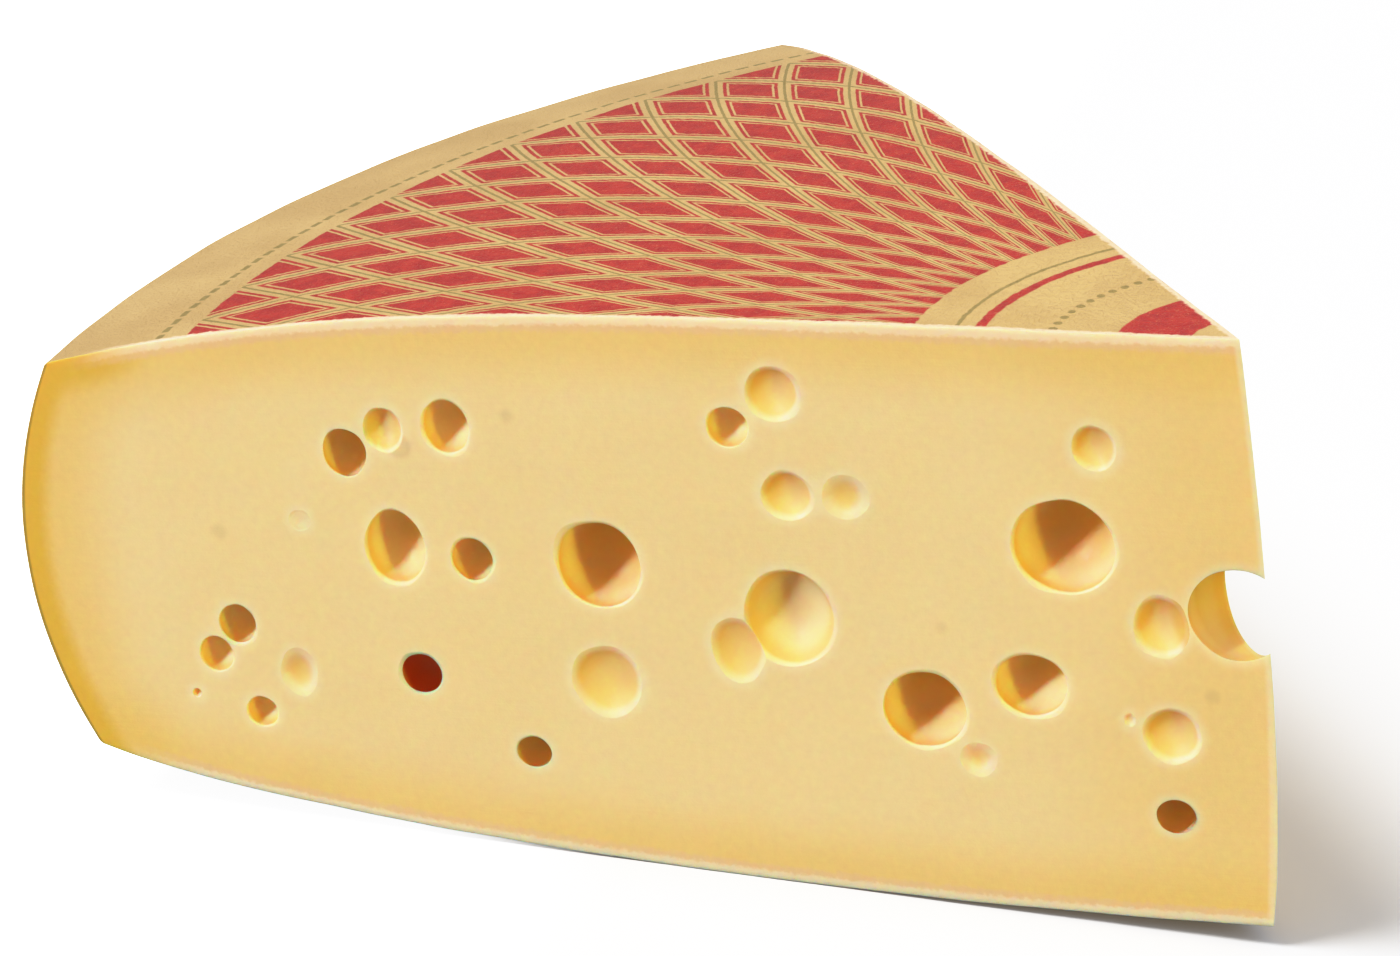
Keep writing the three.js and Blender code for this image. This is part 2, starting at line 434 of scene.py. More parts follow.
for number, eye in enumerate(front_eyes):
    eye_cutter(f"front_eye_{number}", eye, 0, -1)
for number, eye in enumerate(back_eyes):
    eye_cutter(f"back_eye_{number}", eye, back_turn, 1)
ball = bmesh.new()
bmesh.ops.create_uvsphere(ball, u_segments=56, v_segments=36, radius=tip_eye_radius)
wobble(ball, tip_eye_radius)
bmesh.ops.scale(ball, vec=(1, tip_eye_half_length / tip_eye_radius, 1), verts=ball.verts)
bmesh.ops.translate(ball, vec=tip_eye, verts=ball.verts)
cutter_object("tip_eye", ball)

# %% Cut the eyes out of the wedge
wedge_mesh = bpy.data.meshes.new("cheese_wedge_dressed")
shell.to_mesh(wedge_mesh)
shell.free()
wedge = add_object("cheese_wedge_dressed", wedge_mesh)
finishes = [bpy.data.materials.new(name) for name in ("cut_paste", "printed_rind", "bare_rind", "eye_wall")]
for finish in finishes:
    wedge.data.materials.append(finish)
    for cutter in cutters.objects:
        cutter.data.materials.append(finish)
carve = wedge.modifiers.new("eyes", "BOOLEAN")
carve.operation = "DIFFERENCE"
carve.operand_type = "COLLECTION"
carve.collection = cutters
carve.solver = "EXACT"
carve.material_mode = "INDEX"
evaluated = wedge.evaluated_get(bpy.context.evaluated_depsgraph_get())
carved = bpy.data.meshes.new_from_object(evaluated)
wedge.modifiers.clear()
wedge.data = carved
for cutter in list(cutters.objects):
    bpy.data.objects.remove(cutter)
bpy.data.collections.remove(cutters)
print("carved wedge:", len(carved.polygons), "faces")

# %% [markdown]
# ## The way to the nearest mouth
#
# The paste round an eye's mouth is painted a little paler, as a painted highlight: the pale ring of light
# round each mouth. The finish can only paint that halo if it knows how far each place is from a mouth. That
# is worked out once for every vertex, from the same list of eyes, and kept in the mesh as an attribute of
# its own.

# %% Measure how far each vertex is from a mouth
mouth_attribute = "mouth_distance"
mouth_distances = carved.attributes.new(mouth_attribute, "FLOAT", "POINT")
for vertex, record in zip(carved.vertices, mouth_distances.data):
    place = vertex.co
    along, level = math.hypot(place.x, place.y) / mm, place.z / mm
    eyes = front_eyes if math.atan2(place.y, -place.x) < wedge_angle / 2 else back_eyes
    off_mouths = [
        (math.hypot((along - distance) / width, (level - height) / tall) - 1) * (width + tall) / 2
        for distance, height, width, tall, _ in eyes
    ]
    record.value = min(*off_mouths, ((place - tip_eye).length - tip_eye_radius) / mm)
print("measured:", len(mouth_distances.data), "vertices")

# %% [markdown]
# ## From the wheel to the table
#
# The finished mesh is moved from the wheel's frame to its place on the table. The little that would sink
# into the table is pressed flat, as the cheese's own weight does. Edges between two finishes, and steep
# edges, stay crisp, and everything else is shaded smooth.

# %% Lean, press flat, shade
crease, needle_reach = math.radians(38), 0.002 * mm
body = bmesh.new()
body.from_mesh(carved)
bmesh.ops.transform(body, matrix=wheel_to_table, verts=body.verts)
for vertex in body.verts:
    vertex.co.z = max(vertex.co.z, 0.0)
bmesh.ops.dissolve_degenerate(body, dist=needle_reach, edges=body.edges)
bmesh.ops.triangulate(body, faces=body.faces, quad_method="BEAUTY", ngon_method="BEAUTY")
for face in body.faces:
    face.smooth = True
for edge in body.edges:
    if len(edge.link_faces) == 2:
        kinds = {face.material_index for face in edge.link_faces}
        edge.smooth = edge.calc_face_angle() < crease and not (EYE in kinds and len(kinds) > 1)
open_edges = sum(not edge.is_manifold for edge in body.edges)
body.to_mesh(carved)
body.free()
print("dressed wedge:", len(carved.polygons), "triangles,", open_edges, "open edges")

# %% [markdown]
# ## Tools for finishes
#
# A finish is a tree of shader nodes. Written out node by node such a tree is long, so a few small helpers
# come first: one feeds a socket with a link or a plain value, and most of the others make one kind of
# node and hand back its output. Colours are named as
# they look on a screen and turned into the linear values that a renderer adds up.


# %% Node helpers
def paint(red, green, blue):
    """A colour as a screen shows it, from 0 to 255, as the linear colour that shaders use."""
    def linear(value):
        share = value / 255
        return share / 12.92 if share <= 0.04045 else ((share + 0.055) / 1.055) ** 2.4
    return (linear(red), linear(green), linear(blue), 1.0)


def feed(tree, socket, value):
    if isinstance(value, bpy.types.NodeSocket):
        tree.links.new(value, socket)
    else:
        socket.default_value = value


def maths(tree, operation, *values):
    node = tree.nodes.new("ShaderNodeMath")
    node.operation = operation
    for socket, value in zip(node.inputs, values):
        feed(tree, socket, value)
    return node.outputs[0]


def times(tree, value, factor):
    return maths(tree, "MULTIPLY", value, factor)


def rise(tree, value, low, high):
    """0 up to low and 1 from high on, with a smooth step between. It falls where low is the greater."""
    node = tree.nodes.new("ShaderNodeMapRange")
    node.interpolation_type = "SMOOTHSTEP"
    feed(tree, node.inputs["Value"], value)
    feed(tree, node.inputs["From Min"], low)
    feed(tree, node.inputs["From Max"], high)
    return node.outputs["Result"]


def blend(tree, share, first, second):
    node = tree.nodes.new("ShaderNodeMix")
    node.data_type = "RGBA"
    feed(tree, node.inputs[0], share)
    feed(tree, node.inputs[6], first)
    feed(tree, node.inputs[7], second)
    return node.outputs[2]


def cover(tree, colour, upper, value, gone, full, strength=1.0):
    """Lays an upper colour over a colour, from nothing at gone up to that strength at full."""
    return blend(tree, times(tree, rise(tree, value, gone, full), strength), colour, upper)


def grain(tree, place, size, detail=2.0, roughness=0.5, stretch=(1, 1, 1)):
    """Smooth noise from 0 to 1 whose lumps are about size millimetres across."""
    mapping = tree.nodes.new("ShaderNodeMapping")
    mapping.inputs["Scale"].default_value = [share / size for share in stretch]
    feed(tree, mapping.inputs["Vector"], place)
    node = tree.nodes.new("ShaderNodeTexNoise")
    node.inputs["Scale"].default_value = 1.0
    node.inputs["Detail"].default_value = detail
    node.inputs["Roughness"].default_value = roughness
    tree.links.new(mapping.outputs["Vector"], node.inputs["Vector"])
    return node.outputs["Fac"]


def nearest(tree, place, pitch):
    """The distance to the nearest of many points, which are scattered about pitch millimetres apart."""
    node = tree.nodes.new("ShaderNodeTexVoronoi")
    node.inputs["Scale"].default_value = 1 / pitch
    tree.links.new(place, node.inputs["Vector"])
    return times(tree, node.outputs["Distance"], pitch)


def apart(tree, place, point):
    """How far a place is from a point."""
    node = tree.nodes.new("ShaderNodeVectorMath")
    node.operation = "DISTANCE"
    feed(tree, node.inputs[0], place)
    feed(tree, node.inputs[1], point)
    return node.outputs["Value"]


def new_group(name, inputs, outputs):
    """A shader node group with named sockets: Place is a vector and all others are plain numbers."""
    group = bpy.data.node_groups.new(name, "ShaderNodeTree")
    for direction, titles in (("INPUT", inputs), ("OUTPUT", outputs)):
        for title in titles:
            kind = "NodeSocketVector" if title == "Place" else "NodeSocketFloat"
            group.interface.new_socket(title, in_out=direction, socket_type=kind)
    return group, group.nodes.new("NodeGroupInput"), group.nodes.new("NodeGroupOutput")


def use_group(tree, group, **values):
    node = tree.nodes.new("ShaderNodeGroup")
    node.node_tree = group
    for title, value in values.items():
        feed(tree, node.inputs[title.replace("_", " ").capitalize()], value)
    return node


print("a mid paste colour is", [round(v, 2) for v in paint(236, 208, 151)])

# %% [markdown]
# ## Where a point lies in the wheel
#
# Nearly every mark on a cheese follows the wheel: the print runs in rings, the rind's edge follows the
# top and the underside, and the paste is darker where it has dried next to the rind. So the first node
# group turns a place into the wheel's own terms, all in millimetres: how far from the axle, how far round,
# how far below the top, above the underside and inside the rim, and how deep behind the nearest cut. All
# the finishes share it, so their marks meet exactly where two surfaces meet.

# %% The node group "place in the wheel"
where, given, found = new_group(
    "place in the wheel",
    ["Place"],
    ["Radius", "Turn", "Below top", "Above underside", "Inside rim", "Behind cut", "Off tip edge"],
)
split = where.nodes.new("ShaderNodeSeparateXYZ")
where.links.new(given.outputs["Place"], split.inputs[0])
along, back, level = split.outputs
radius = maths(where, "SQRT", maths(
    where, "ADD", times(where, along, along), times(where, back, back)
))
turn = maths(where, "ARCTAN2", back, times(where, along, -1.0))
share = maths(where, "DIVIDE", radius, wheel_radius / mm)


def shaped(power, height):
    """One term of the wheel's outline: a height times a power of the share of the radius."""
    return times(where, maths(where, "POWER", share, power), height / mm)


top = maths(where, "ADD", half_height / mm, maths(
    where, "SUBTRACT", shaped(2, top_swell), shaped(top_drop_power, top_drop)
))
under = maths(where, "SUBTRACT", maths(
    where, "ADD", shaped(2, under_dome), shaped(under_turn_power, under_turn)
), half_height / mm)
rim_middle, rim_half = (rim_top + rim_under) / 2 / mm, (rim_top - rim_under) / 2 / mm
off_middle = maths(where, "DIVIDE", maths(where, "SUBTRACT", level, rim_middle), rim_half)
bulge = times(where, maths(
    where, "SUBTRACT", 1.0, times(where, off_middle, off_middle)
), rim_bulge / mm)
reach = maths(where, "ADD", bulge, wheel_radius / mm)
bow_share = maths(where, "DIVIDE", level, half_height / mm)
bow = times(where, maths(
    where, "SUBTRACT", 1.0, times(where, bow_share, bow_share)
), bow_at(0) / mm)
behind_back = maths(where, "SUBTRACT", bow, maths(
    where, "ADD",
    times(where, along, back_outwards.x),
    times(where, back, back_outwards.y),
))
for title, value in {
    "Radius": radius,
    "Turn": maths(where, "DEGREES", turn),
    "Below top": maths(where, "SUBTRACT", top, level),
    "Above underside": maths(where, "SUBTRACT", level, under),
    "Inside rim": maths(where, "SUBTRACT", reach, radius),
    "Behind cut": maths(where, "MINIMUM", back, behind_back),
    "Off tip edge": maths(where, "MAXIMUM", back, behind_back),
}.items():
    where.links.new(value, found.inputs[title])
print("place in the wheel:", len(where.nodes), "nodes")

# %% Begin a finish, and feed its shader
from_table = wheel_lean.transposed()
to_wheel_turn = from_table.to_euler()
to_wheel_shift = from_table @ wheel_shift / -mm


def begin_finish(finish):
    """Turns on a material's nodes, and adds the place in the wheel that its marks follow."""
    finish.use_nodes = True
    tree = finish.node_tree
    source = tree.nodes.new("ShaderNodeTexCoord")
    to_wheel = tree.nodes.new("ShaderNodeMapping")
    to_wheel.inputs["Location"].default_value = to_wheel_shift
    to_wheel.inputs["Rotation"].default_value = to_wheel_turn
    to_wheel.inputs["Scale"].default_value = (1 / mm, 1 / mm, 1 / mm)
    tree.links.new(source.outputs["Object"], to_wheel.inputs["Vector"])
    place = to_wheel.outputs["Vector"]
    return tree, tree.nodes["Principled BSDF"], place, use_group(tree, where, place=place).outputs


def speckle(tree, shader, colour, value, swing, least):
    """Feeds a colour to the shader, and makes it brighter from least on where the value rises."""
    node = tree.nodes.new("ShaderNodeHueSaturation")
    feed(tree, node.inputs["Value"], maths(tree, "MULTIPLY_ADD", value, swing, least))
    feed(tree, node.inputs["Color"], colour)
    tree.links.new(node.outputs["Color"], shader.inputs["Base Color"])


def roughen(tree, shader, value, swing, least):
    """Feeds the roughness: the least of it, and up to swing more where the value rises."""
    tree.links.new(maths(tree, "MULTIPLY_ADD", value, swing, least), shader.inputs["Roughness"])


def relief(tree, shader, height, depth):
    """Feeds a height from 0 to 1 to the shader's normal, as relief of that depth."""
    bump = tree.nodes.new("ShaderNodeBump")
    bump.inputs["Strength"].default_value = 1.0
    bump.inputs["Distance"].default_value = depth
    tree.links.new(height, bump.inputs["Height"])
    tree.links.new(bump.outputs["Normal"], shader.inputs["Normal"])


cut_paste, printed_rind, bare_rind, eye_wall = finishes
print("the wheel's frame is turned by", [round(math.degrees(v), 1) for v in to_wheel_turn])

# %% [markdown]
# ## Mottling
#
# No part of a cheese has one flat colour. The paste is a little lighter and darker in soft patches as
# wide as a hand, and again in patches as small as a pea. Both kinds come from smooth noise, and they are
# one group, because every finish of the wedge needs them at its own sizes.

# %% The node group "mottling"
mottling, given, found = new_group(
    "mottling", ["Place", "Broad size", "Close size"], ["Broad", "Close"]
)
for title, size_title, detail in (("Broad", "Broad size", 2.0), ("Close", "Close size", 4.0)):
    noise_node = mottling.nodes.new("ShaderNodeTexNoise")
    noise_node.inputs["Detail"].default_value = detail
    mottling.links.new(given.outputs["Place"], noise_node.inputs["Vector"])
    scale = maths(mottling, "DIVIDE", 1.0, given.outputs[size_title])
    mottling.links.new(scale, noise_node.inputs["Scale"])
    mottling.links.new(noise_node.outputs["Fac"], found.inputs[title])
print("mottling:", len(mottling.nodes), "nodes")

# %% [markdown]
# ## The cut paste
#
# Freshly cut paste is smooth, satin and pale yellow. Towards the rind it has ripened and dried, so it
# turns golden, most of all along the rim and in the corner under the top. A golden tone towards the tip is
# painted light, standing for the warm fill from the right, and a pale strip down the tip edge is a painted
# highlight. The rind itself shows at the top and the bottom of the cut as a pale, ragged strip a few
# millimetres thick with a peach tone behind it, and along the rim as a thin olive line. The pale halo round
# each mouth is a painted highlight, and the faint grey spots here and there are painted shade, each for an
# eye that the knife just missed. All of it is a matter of distances, so the colours are laid over each
# other by those that the first group gives. Light enters the paste only a few millimetres, which softens
# its shadows, and subsurface scattering does that.

# %% How light travels inside the cheese
paste_reach, wall_reach = 3 * mm, 14 * mm
paste_scatter, wall_scatter = (1.0, 0.6, 0.3), (1.0, 0.18, 0.045)


def let_light_in(shader, scatter, reach):
    shader.inputs["Subsurface Weight"].default_value = 1.0
    shader.inputs["Subsurface Radius"].default_value = scatter
    shader.inputs["Subsurface Scale"].default_value = reach


print("red light travels", round(wall_reach / mm), "mm between two turns")

# %% The colours of the two cuts, and how far each reaches
paste_fresh, paste_patch = paint(249, 221, 180), paint(246, 220, 178)
paste_ripe, rim_gold = paint(238, 204, 116), paint(232, 194, 84)
strip_cream, strip_peach = paint(255, 225, 202), paint(240, 206, 172)
# Of these, the grey spot is painted shade, and the pale halo colour is a painted highlight.
rim_line, buried_eye_shade, mouth_highlight = paint(150, 135, 70), paint(205, 185, 140), paint(255, 232, 206)

# Millimetres from the rind, the rim, the tip edge or a mouth: where a colour has gone, where it is full,
# and for some how strong it is there
# The last of these three, a golden tone towards the tip edge, is painted light: the warm fill from the
# right.
ripe_depth, ripe_inside_rim, tip_warm_light = (32.0, 4.0, 0.55), (42.0, 10.0, 0.6), (75.0, 5.0, 0.4)
rim_band, corner_inside_rim, corner_below_top = (13.0, 5.0), (46.0, 16.0), (16.0, 5.0)
peach_depth, peach_strength, cream_depth, strip_end = (6.5, 4.0), 0.8, (3.8, 2.2), (6.0, 40.0)
# The first of these three, a pale strip down the tip edge, and the last, a pale ring round each mouth, are
# painted highlights.
tip_edge_highlight, rim_edge, mouth_highlight_ring = (2.4, 1.0, 0.7), (1.5, 0.7, 0.75), (4.6, 0.4, 0.55)
# The grey spots placed here are painted shade, each standing for an eye just under the cut.
spot_pitch, spot_ring, spot_below_rind, spot_strength = 60.0, (5.5, 3.0), (12.0, 30.0), 0.4
ragged_size, ragged_depth = 2.2, 3.2
print("the paste is ripe up to", round(ripe_depth[0]), "mm below the rind")

# %% The colour of the two cuts
tree, shader, place, spot = begin_finish(cut_paste)
mottle = use_group(tree, mottling, place=place, broad_size=70.0, close_size=3.0).outputs
inside_rim, off_tip = spot["Inside rim"], spot["Off tip edge"]
rind_depth = maths(tree, "MINIMUM", spot["Below top"], spot["Above underside"])
ragged = maths(tree, "SUBTRACT", grain(tree, place, ragged_size, 3.0), 0.5)
ragged = times(tree, ragged, ragged_depth)
strip_depth = maths(tree, "ADD", rind_depth, ragged)
rim_depth = maths(tree, "ADD", inside_rim, times(tree, ragged, 0.6))
under_top = rise(tree, spot["Below top"], *corner_below_top)
off_rim = rise(tree, inside_rim, *strip_end)
below_rind = rise(tree, rind_depth, *spot_below_rind)
mouth_distance = tree.nodes.new("ShaderNodeAttribute")
mouth_distance.attribute_name = mouth_attribute

colour = cover(tree, paste_fresh, paste_patch, mottle["Broad"], 0.35, 0.65)
colour = cover(tree, colour, paste_ripe, rind_depth, *ripe_depth)
colour = cover(tree, colour, paste_ripe, inside_rim, *ripe_inside_rim)
# Painted light: a golden tone towards the tip edge, standing for the warm fill from the right.
colour = cover(tree, colour, paste_ripe, off_tip, *tip_warm_light)
colour = cover(tree, colour, rim_gold, rim_depth, *rim_band)
colour = cover(tree, colour, rim_gold, rim_depth, *corner_inside_rim, under_top)
peach_here = times(tree, off_rim, peach_strength)
colour = cover(tree, colour, strip_peach, strip_depth, *peach_depth, peach_here)
colour = cover(tree, colour, strip_cream, strip_depth, *cream_depth, off_rim)
# Painted highlight: a pale strip down the tip edge, the light that its rounded edge catches.
colour = cover(tree, colour, strip_cream, off_tip, *tip_edge_highlight)
colour = cover(tree, colour, rim_line, inside_rim, *rim_edge)
# Painted highlight: a pale ring round each mouth.
colour = cover(tree, colour, mouth_highlight, mouth_distance.outputs["Fac"], *mouth_highlight_ring)
buried_eye_shade_here = times(tree, below_rind, spot_strength)
# Painted shade: faint grey spots, each for an eye that the knife just missed.
colour = cover(tree, colour, buried_eye_shade, nearest(tree, place, spot_pitch), *spot_ring, buried_eye_shade_here)
speckle(tree, shader, colour, mottle["Close"], 0.10, 0.95)
print("colour of the cuts:", len(tree.nodes), "nodes so far")

# %% The surface of the two cuts
roughen(tree, shader, mottle["Close"], 0.12, 0.42)
let_light_in(shader, paste_scatter, paste_reach)
knife_lines = grain(tree, place, 1.4, 3.0, 0.6, stretch=(0.05, 1, 1))
crumb = grain(tree, place, 0.9, 3.0, 0.6)
relief(tree, shader, maths(tree, "ADD", knife_lines, crumb), 0.09 * mm)
print("cut paste:", len(tree.nodes), "nodes")

# %% [markdown]
# ## The rind's grain
#
# A rind is dry and finely pitted, and it keeps the weave of the cloth that the young cheese was pressed
# in. A group gives that relief and a mask of the worn high spots, for the printed top and for the bare
# rim and underside alike.

# %% The node group "rind grain"
rind_grain, given, found = new_group("rind grain", ["Place", "Thread"], ["Height", "Worn"])
split = rind_grain.nodes.new("ShaderNodeSeparateXYZ")
rind_grain.links.new(given.outputs["Place"], split.inputs[0])


def threads(across):
    turns_of_thread = maths(rind_grain, "DIVIDE", across, given.outputs["Thread"])
    wave = maths(rind_grain, "SINE", times(rind_grain, turns_of_thread, 2 * math.pi))
    return maths(rind_grain, "MULTIPLY_ADD", wave, 0.5, 0.5)


weave = times(rind_grain, threads(split.outputs[0]), threads(split.outputs[1]))
patches = rise(rind_grain, grain(rind_grain, given.outputs["Place"], 24.0, 2.0), 0.4, 0.7)
pits = rise(rind_grain, grain(rind_grain, given.outputs["Place"], 1.6, 4.0, 0.65), 0.38, 0.55)
height = maths(rind_grain, "MULTIPLY_ADD", times(rind_grain, weave, patches), 0.35, pits)
worn = rise(rind_grain, grain(rind_grain, given.outputs["Place"], 0.9, 4.0, 0.7), 0.56, 0.70)
rind_grain.links.new(height, found.inputs["Height"])
rind_grain.links.new(worn, found.inputs["Worn"])
print("rind grain:", len(rind_grain.nodes), "nodes")

# %% [markdown]
# ## The printed top
#
# The top of such a wheel carries a print in food colour that fans out from the axle, so that every wedge
# shows some of it. This one is a plain harlequin of long red lozenges with a fine olive lattice between
# them, a disc, beads and rings round the axle and a dashed ring outside. In the wheel's own terms a
# lozenge is simple: one number counts rings and turn together and another counts them against each
# other, and a lozenge is where both are well inside a whole step. The ink sits on dry rind, so it is
# thin on the high spots.

# %% The print's sizes
print_start, print_end = 108.0, 366.0
rings_of_lozenges, lozenges_across = 4.5, 11
ring_pitch = (print_end - print_start) / rings_of_lozenges
turn_pitch = math.degrees(wedge_angle) / lozenges_across
lozenge_gap, lattice_width = 0.10, 0.022
inner_line, inner_width = 0.17, 0.018
disc_band, ring_band, thin_band, dash_band = (16.0, 40.0), (84.0, 87.5), (93.0, 94.5), (376.0, 378.5)
bead_ring, bead_radius, dash_pitch = 62.0, 1.43, 1.1
bare_strip, bare_end = (2.6, 1.3), (8.0, 40.0)
ink_red, ink_red_deep, ink_olive = paint(196, 42, 42), paint(180, 14, 34), paint(150, 132, 72)
print("a lozenge is", round(ring_pitch), "mm long and", round(turn_pitch, 1), "degrees wide")

# %% The print's masks
tree, shader, place, spot = begin_finish(printed_rind)


def wavering(value, size, amount):
    noise_value = maths(tree, "SUBTRACT", grain(tree, place, size, 3.0), 0.5)
    return maths(tree, "ADD", value, times(tree, noise_value, amount))


def band(value, low, high, soft):
    """1 between low and high."""
    inner = rise(tree, value, low - soft, low + soft)
    return times(tree, inner, rise(tree, value, high + soft, high - soft))


print_radius = wavering(spot["Radius"], 3.0, 1.6)
print_turn = wavering(spot["Turn"], 3.0, 0.25)
ring_count = maths(tree, "DIVIDE", maths(tree, "SUBTRACT", print_radius, print_start), ring_pitch)
turn_count = maths(tree, "DIVIDE", print_turn, turn_pitch)


def off_centre(count):
    """How far a count is from the middle of its step: 0 in the middle, 0.5 at the ends."""
    return maths(tree, "ABSOLUTE", maths(tree, "SUBTRACT", maths(tree, "FRACT", count), 0.5))


off_one = off_centre(maths(tree, "ADD", ring_count, turn_count))
off_other = off_centre(maths(tree, "SUBTRACT", ring_count, turn_count))
off_lozenge = maths(tree, "MAXIMUM", off_one, off_other)
in_print = band(print_radius, print_start, print_end, 0.4)
lozenges = rise(tree, off_lozenge, 0.5 - lozenge_gap + 0.008, 0.5 - lozenge_gap - 0.008)
inner = band(off_lozenge, 0.5 - inner_line - inner_width, 0.5 - inner_line + inner_width, 0.006)
lozenges = times(tree, lozenges, maths(tree, "SUBTRACT", 1.0, inner))
lattice = rise(tree, off_lozenge, 0.5 - lattice_width - 0.006, 0.5 - lattice_width + 0.006)
disc_and_ring = maths(
    tree, "MAXIMUM", band(print_radius, *disc_band, 0.4), band(print_radius, *ring_band, 0.4)
)
red = maths(tree, "MAXIMUM", times(tree, lozenges, in_print), disc_and_ring)
bead_turn = off_centre(maths(tree, "DIVIDE", spot["Turn"], turn_pitch))
bead_across = times(tree, bead_turn, math.radians(turn_pitch) * bead_ring)
bead_along = maths(tree, "SUBTRACT", print_radius, bead_ring)
bead_off = maths(tree, "SQRT", maths(
    tree, "ADD", times(tree, bead_across, bead_across),
    times(tree, bead_along, bead_along),
))
beads = rise(tree, bead_off, bead_radius + 0.3, bead_radius - 0.3)
dashes = times(tree, band(print_radius, *dash_band, 0.3), rise(
    tree, off_centre(maths(tree, "DIVIDE", spot["Turn"], dash_pitch)), 0.36, 0.33
))
thin_ring = band(print_radius, *thin_band, 0.3)
olive = maths(tree, "MAXIMUM", times(tree, lattice, in_print), maths(
    tree, "MAXIMUM", maths(tree, "MAXIMUM", beads, thin_ring), dashes
))
print("print masks:", len(tree.nodes), "nodes so far")

# %% The finish of the printed top
rind_tan, rind_dull = paint(221, 191, 135), paint(211, 180, 124)
grain_out = use_group(tree, rind_grain, place=place, thread=1.3).outputs
mottle = use_group(tree, mottling, place=place, broad_size=48.0, close_size=6.0).outputs
colour = cover(tree, rind_tan, rind_dull, mottle["Broad"], 0.35, 0.68)
colour = blend(tree, times(tree, grain_out["Worn"], 0.25), colour, strip_cream)
worn_ink = maths(tree, "SUBTRACT", 1.0, times(tree, grain_out["Worn"], 0.45))
ink_colour = cover(tree, ink_red, ink_red_deep, mottle["Close"], 0.3, 0.7)
colour = blend(tree, times(tree, olive, times(tree, worn_ink, 0.8)), colour, ink_olive)
colour = blend(tree, times(tree, red, times(tree, worn_ink, 0.96)), colour, ink_colour)
edge_depth = wavering(spot["Behind cut"], 2.2, 2.4)
bare_here = rise(tree, spot["Inside rim"], *bare_end)
colour = cover(tree, colour, strip_cream, edge_depth, *bare_strip, bare_here)
tree.links.new(colour, shader.inputs["Base Color"])
roughen(tree, shader, grain_out["Worn"], 0.2, 0.42)
shader.inputs["Specular IOR Level"].default_value = 0.2
relief(tree, shader, grain_out["Height"], 0.16 * mm)
print("printed rind:", len(tree.nodes), "nodes")

# %% [markdown]
# ## The bare rim and underside
#
# The rim and the underside carry no print. They are the same dry rind, golden tan with darker blotches
# where the wheel stood on its shelf, so the finish uses the same two groups at larger sizes.

# %% The finish of the rim and the underside
bare_gold, bare_brown, bare_dark = paint(222, 180, 104), paint(200, 152, 84), paint(168, 130, 78)
tree, shader, place, spot = begin_finish(bare_rind)
grain_out = use_group(tree, rind_grain, place=place, thread=1.6).outputs
mottle = use_group(tree, mottling, place=place, broad_size=60.0, close_size=9.0).outputs
colour = cover(tree, bare_gold, bare_brown, mottle["Broad"], 0.35, 0.65)
colour = cover(tree, colour, bare_dark, mottle["Close"], 0.55, 0.72, 0.4)
colour = blend(tree, times(tree, grain_out["Worn"], 0.3), colour, strip_cream)
tree.links.new(colour, shader.inputs["Base Color"])
roughen(tree, shader, grain_out["Worn"], 0.15, 0.5)
relief(tree, shader, grain_out["Height"], 0.3 * mm)
print("bare rind:", len(tree.nodes), "nodes")

# %% [markdown]
# ## The eye walls
#
# The wall of an eye was never cut, so it has no knife lines, only a soft unevenness. Its mouth is painted
# as a pale lip, which is a painted highlight. Farther in, its colour deepens, partly the wall's own colour
# and partly painted shade. The rest of the dark orange of a hole comes from the light: red light goes far
# into the wall and bounces from wall to wall, and loses a little blue and green each time, so a long reach
# for the red does it. Two eyes get painted shade of their own: one cavern is painted russet inside, and the
# one on the tip, which is open on both sides, is painted a deeper gold.

# %% The colours of the eye walls
# The pale lip colour is a painted highlight. The deepest colour is partly the wall's own and partly painted
# shade.
wall_lip_highlight, wall_pale = paint(252, 226, 188), paint(246, 208, 136)
wall_gold, deep_wall_and_shade = paint(246, 218, 166), paint(233, 182, 108)
# Both of these are painted shade: a russet for one deep cavern, and a deeper gold for the tip eye.
cavern_shade, tip_eye_shade = paint(230, 136, 96), paint(220, 178, 58)
lip_highlight_end, pale_end, deep_wall_and_shade_reach = (0.4, 2.0), (3.0, 7.0), (8.0, 18.0)
# Where the russet painted shade lies: the cavern's centre, how far it reaches, and from what depth.
shaded_cavern, shaded_cavern_reach, shaded_cavern_depth = (-294.5, 8.0, -28.0), (16.0, 13.0), (0.5, 2.5)
# How far the tip eye's painted shade reaches round its centre.
tip_eye_shade_reach = (26.0, 22.0, 0.6)
print("the lip's colour ends", lip_highlight_end[1], "mm deep")

# %% The finish of the eye walls
tree, shader, place, spot = begin_finish(eye_wall)
mottle = use_group(tree, mottling, place=place, broad_size=14.0, close_size=2.4).outputs
depth = spot["Behind cut"]
# A painted highlight at the mouth, then colours by depth, and the deepest of them is partly painted shade.
colour = cover(tree, wall_lip_highlight, wall_pale, depth, *lip_highlight_end)
colour = cover(tree, colour, wall_gold, depth, *pale_end)
colour = cover(tree, colour, deep_wall_and_shade, depth, *deep_wall_and_shade_reach)
# Painted shade: the eye on the tip is painted a deeper gold.
colour = cover(tree, colour, tip_eye_shade, apart(tree, place, tip_eye / mm), *tip_eye_shade_reach)
# Painted shade: one deep cavern is painted russet inside.
shaded_cavern_here = rise(tree, depth, *shaded_cavern_depth)
colour = cover(tree, colour, cavern_shade, apart(tree, place, shaded_cavern), *shaded_cavern_reach, shaded_cavern_here)
speckle(tree, shader, colour, mottle["Broad"], 0.14, 0.93)
roughen(tree, shader, mottle["Close"], 0.16, 0.46)
let_light_in(shader, wall_scatter, wall_reach)
relief(tree, shader, maths(tree, "ADD", mottle["Close"], mottle["Broad"]), 0.12 * mm)
print("eye wall:", len(tree.nodes), "nodes")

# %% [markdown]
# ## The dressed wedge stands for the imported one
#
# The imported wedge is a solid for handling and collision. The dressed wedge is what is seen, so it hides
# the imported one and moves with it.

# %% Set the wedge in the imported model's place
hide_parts("cheese_wedge")
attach(wedge, "root")
print(wedge.name, "stands for", cad_wedge.name)
